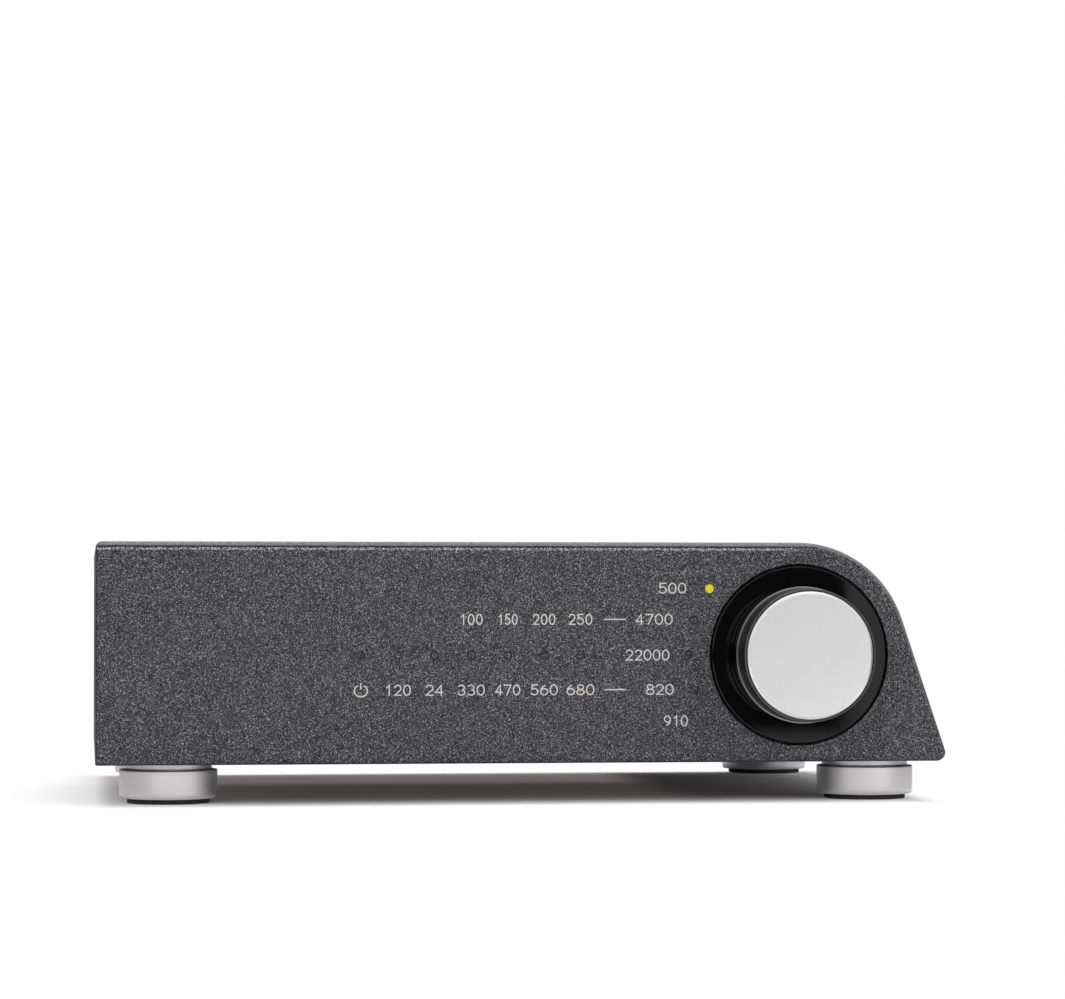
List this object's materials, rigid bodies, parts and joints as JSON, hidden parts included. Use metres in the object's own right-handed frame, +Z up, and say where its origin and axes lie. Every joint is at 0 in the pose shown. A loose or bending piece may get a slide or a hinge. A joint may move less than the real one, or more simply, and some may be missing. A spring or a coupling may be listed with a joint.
{
  "type": "phono preamp",
  "caption": "Low metal preamp for a record player: flat front panel with small indicators, a large push-and-turn knob under a rounded shoulder, sockets behind, on round metal feet.",
  "frame": {"origin": "on the standing surface, under the centre of the whole object's box", "axes": "+Z up, front panel towards -Y, +X to the right as seen from the front (the sloping side)"},
  "size_m": [0.2802, 0.251, 0.0856],
  "materials": {
    "powder_coat": "fine sparkle powder coat",
    "base_coat": "matt black paint",
    "rear_coat": "fine powder coat",
    "gloss_black": "polished black",
    "smoked_plastic": "smoked, satin",
    "lit_plastic": "yellow, lit from behind",
    "lamp_resin": "clear resin",
    "board_green": "solder mask",
    "brass": "turned",
    "steel": "zinc plated",
    "black_steel": "blackened",
    "cast_zinc": "die cast",
    "black_plastic": "moulded, fine grain",
    "foot_aluminium": "fine satin anodised",
    "rubber": "matt",
    "film_red": "cast",
    "relay_white": "moulded",
    "sleeve_blue": "shrink sleeve",
    "black_aluminium": "black anodised",
    "winding_tape": "wrapped tape",
    "ribbon_grey": "moulded",
    "nickel": "bright nickel",
    "red_plastic": "moulded",
    "white_plastic": "moulded",
    "dark_aluminium": "dark satin anodised",
    "cap_aluminium": "fine brushed, clear anodised"
  },
  "bodies": {
    "chassis": {"wrap_cover": "powder_coat", "base_plate": "base_coat", "front_panel": "powder_coat", "rear_panel": "rear_coat", "knob_bezel": "gloss_black", "light_pipes": "smoked_plastic", "lit_light_pipe": "lit_plastic", "indicator_lamps": "lamp_resin", "control_board": "board_green", "control_board_spacers": "brass", "board_screws": "steel", "encoder_housing": "cast_zinc", "encoder_washer": "steel", "encoder_nut": "steel", "optical_sensor": "black_plastic", "push_switch": "steel", "panel_brackets": "steel", "chassis_screws": "steel", "cover_screws": "black_steel", "foot_necks": "foot_aluminium", "foot_bodies": "foot_aluminium", "foot_pads": "rubber", "foot_screws": "steel", "main_board": "board_green", "board_posts": "brass", "film_capacitors": "film_red", "signal_relays": "relay_white", "amplifier_chips": "black_plastic", "control_chip": "black_plastic", "supply_board": "board_green", "reservoir_capacitors": "sleeve_blue", "rectifier_bridge": "black_plastic", "heatsinks": "black_aluminium", "transformer_winding": "winding_tape", "transformer_pads": "rubber", "transformer_cap": "steel", "transformer_bolt": "steel", "shield_wall": "steel", "ribbon_cable": "ribbon_grey", "ribbon_headers": "black_plastic", "socket_shells": "nickel", "socket_insulators_red": "red_plastic", "socket_insulators_white": "white_plastic", "socket_contacts": "nickel", "rear_panel_nuts": "nickel", "ground_post": "nickel", "inlet_housing": "black_plastic", "inlet_pins": "nickel", "rocker_frame": "black_plastic"},
    "switch_rocker": {"power_rocker": "black_plastic"},
    "post_washer": {"ground_washer": "nickel"},
    "thumb_nut": {"ground_nut": "nickel"},
    "push_carriage": {"encoder_plunger": "black_plastic"},
    "knob": {"encoder_shaft": "steel", "code_wheel": "steel", "knob_skirt": "gloss_black", "knob_grip": "dark_aluminium", "knob_cap": "cap_aluminium", "knob_hub": "brass"}
  },
  "joints": [
    {"name": "knob_push", "type": "slide", "parent": "chassis", "child": "push_carriage", "axis": [0, 1, 0], "range_m": [0, 0.0005], "stiffness_N_per_m": 4000, "springref_m": -0.0005},
    {"name": "knob_turn", "type": "hinge", "parent": "push_carriage", "child": "knob", "pos_m": [0.09032, -0.1075, 0.04861], "axis": [0, -1, 0], "continuous": true},
    {"name": "rocker_tilt", "type": "hinge", "parent": "chassis", "child": "switch_rocker", "pos_m": [0.03515, 0.109, 0.04531], "axis": [1, 0, 0], "range_deg": [-18, 0]},
    {"name": "nut_travel", "type": "slide", "parent": "chassis", "child": "post_washer", "axis": [0, 1, 0], "range_m": [0, 0.00282]},
    {"name": "nut_turn", "type": "hinge", "parent": "post_washer", "child": "thumb_nut", "pos_m": [-0.00605, 0.1125, 0.04531], "axis": [0, 1, 0], "range_deg": [0, 1440]}
  ],
  "couplings": [
    {"joint": "nut_travel", "follows": "nut_turn", "m_per_rad": 0.00011141}
  ]
}
